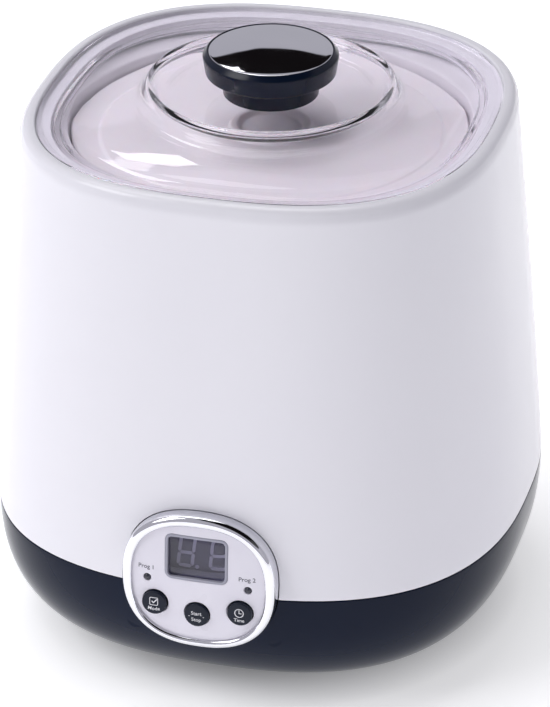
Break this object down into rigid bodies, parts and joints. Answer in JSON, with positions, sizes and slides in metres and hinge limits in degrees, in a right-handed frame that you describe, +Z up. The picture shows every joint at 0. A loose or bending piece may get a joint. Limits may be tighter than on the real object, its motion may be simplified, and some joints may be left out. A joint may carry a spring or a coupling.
{
  "type": "yogurt maker",
  "caption": "Soft square single-jar yogurt maker: white tapered housing on a dark bowl base, clear lid with a round knob, front panel with display and keys.",
  "frame": {"origin": "on the floor under the body's vertical axis", "axes": "+Z up; -Y is the front, where the control panel faces; +X to the right as seen from the front"},
  "size_m": [0.176, 0.1847, 0.1981],
  "materials": {
    "white_abs": "gloss moulded",
    "navy_abs": "gloss moulded",
    "rubber": "matte",
    "steel": "zinc plated",
    "label": "satin foil",
    "well_alu": "satin drawn",
    "silicone": "matte",
    "film": "satin film",
    "black_plastic": "matte moulded",
    "cable_skin": "satin",
    "jar_pp": "satin moulded",
    "lid_pp": "satin moulded",
    "clear_pc": "clear polished",
    "chrome": "plated",
    "fascia": "gloss moulded",
    "grey_plastic": "satin moulded",
    "smoke": "clear smoked",
    "display": "satin",
    "segments": "satin",
    "led": "gloss",
    "board_green": "satin",
    "board_tan": "satin",
    "relay_blue": "gloss moulded",
    "terminal_green": "matte moulded",
    "cream": "matte"
  },
  "bodies": {
    "appliance": {"outer_housing": "white_abs", "base_shell": "navy_abs", "rubber_feet": "rubber", "base_screws": "steel", "rating_plate": "label", "cord_gland": "rubber", "heating_well": "well_alu", "well_gasket": "silicone", "well_screws": "steel", "heating_film": "film", "thermal_fuse": "cream", "fuse_clip": "steel", "temperature_sensor": "black_plastic", "sensor_bracket": "steel", "bracket_screws": "steel", "heater_leads": "cable_skin", "panel_bezel": "chrome", "fascia_plate": "fascia", "panel_carrier": "black_plastic", "carrier_screws": "steel", "display_frame": "grey_plastic", "display_lens": "smoke", "display_module": "display", "digit_segments": "segments", "indicator_leds": "led", "control_board": "board_green", "board_screws": "steel", "microcontroller": "black_plastic", "switch_bodies": "black_plastic", "buzzer": "black_plastic", "signal_ribbon": "cream", "power_board": "board_tan", "power_board_screws": "steel", "transformer": "black_plastic", "relay": "relay_blue", "capacitors": "relay_blue", "terminal_block": "terminal_green"},
    "jar": {"jar": "jar_pp"},
    "jar_lid": {"jar_lid": "lid_pp"},
    "lid": {"outer_lid": "clear_pc", "knob_body": "navy_abs", "knob_cap": "chrome", "knob_washer": "silicone", "knob_screw": "steel"},
    "mode_key": {"mode_button": "navy_abs", "mode_plunger": "cream"},
    "start_key": {"start_button": "navy_abs", "start_plunger": "cream"},
    "time_key": {"time_button": "navy_abs", "time_plunger": "cream"}
  },
  "joints": [
    {"name": "jar_lift", "type": "slide", "parent": "appliance", "child": "jar", "axis": [0, 0, 1], "range_m": [0, 0.145]},
    {"name": "jar_lid_lift", "type": "slide", "parent": "jar", "child": "jar_lid", "axis": [0, 0, 1], "range_m": [0, 0.05]},
    {"name": "lid_lift", "type": "slide", "parent": "jar_lid", "child": "lid", "axis": [0, 0, 1], "range_m": [0, 0.06]},
    {"name": "mode_press", "type": "slide", "parent": "appliance", "child": "mode_key", "axis": [0, 0.9994, -0.0349], "range_m": [0, 0.0005], "stiffness_N_per_m": 1500, "springref_m": -0.0002},
    {"name": "start_press", "type": "slide", "parent": "appliance", "child": "start_key", "axis": [0, 0.9994, -0.0349], "range_m": [0, 0.0005], "stiffness_N_per_m": 1500, "springref_m": -0.0002},
    {"name": "time_press", "type": "slide", "parent": "appliance", "child": "time_key", "axis": [0, 0.9994, -0.0349], "range_m": [0, 0.0005], "stiffness_N_per_m": 1500, "springref_m": -0.0002}
  ]
}
